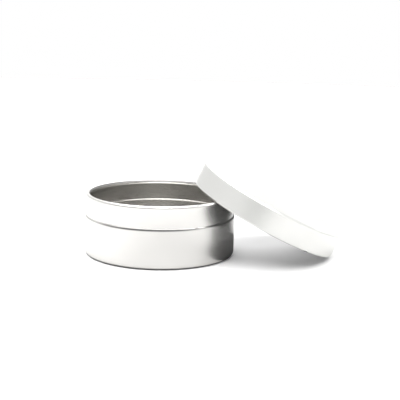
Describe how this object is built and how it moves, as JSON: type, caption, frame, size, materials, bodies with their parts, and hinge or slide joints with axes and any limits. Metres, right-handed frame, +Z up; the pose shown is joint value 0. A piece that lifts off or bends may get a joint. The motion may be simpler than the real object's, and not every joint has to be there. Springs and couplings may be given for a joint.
{
  "type": "candle tin",
  "caption": "Shallow round metal candle tin with a slightly drawn-in neck and a curled rim, its slip-on lid off and leaning on the rim.",
  "frame": {"origin": "centre of the tin's flat bottom, on the surface that the tin stands on", "axes": "+Z up along the tin's axis; +X from the tin towards the side where the leaning lid stands"},
  "size_m": [0.1308, 0.079, 0.0459],
  "materials": {
    "tin_metal": "bright satin tinplate, fine turning marks",
    "lid_metal": "soft satin tinplate, paler than the tin"
  },
  "bodies": {
    "tin": {"tin_body": "tin_metal"},
    "lid": {"lid": "lid_metal"}
  },
  "joints": [
    {"name": "lid_lift", "type": "slide", "parent": "tin", "child": "lid", "axis": [0, 0, 1], "range_m": [0, 0.05]}
  ]
}
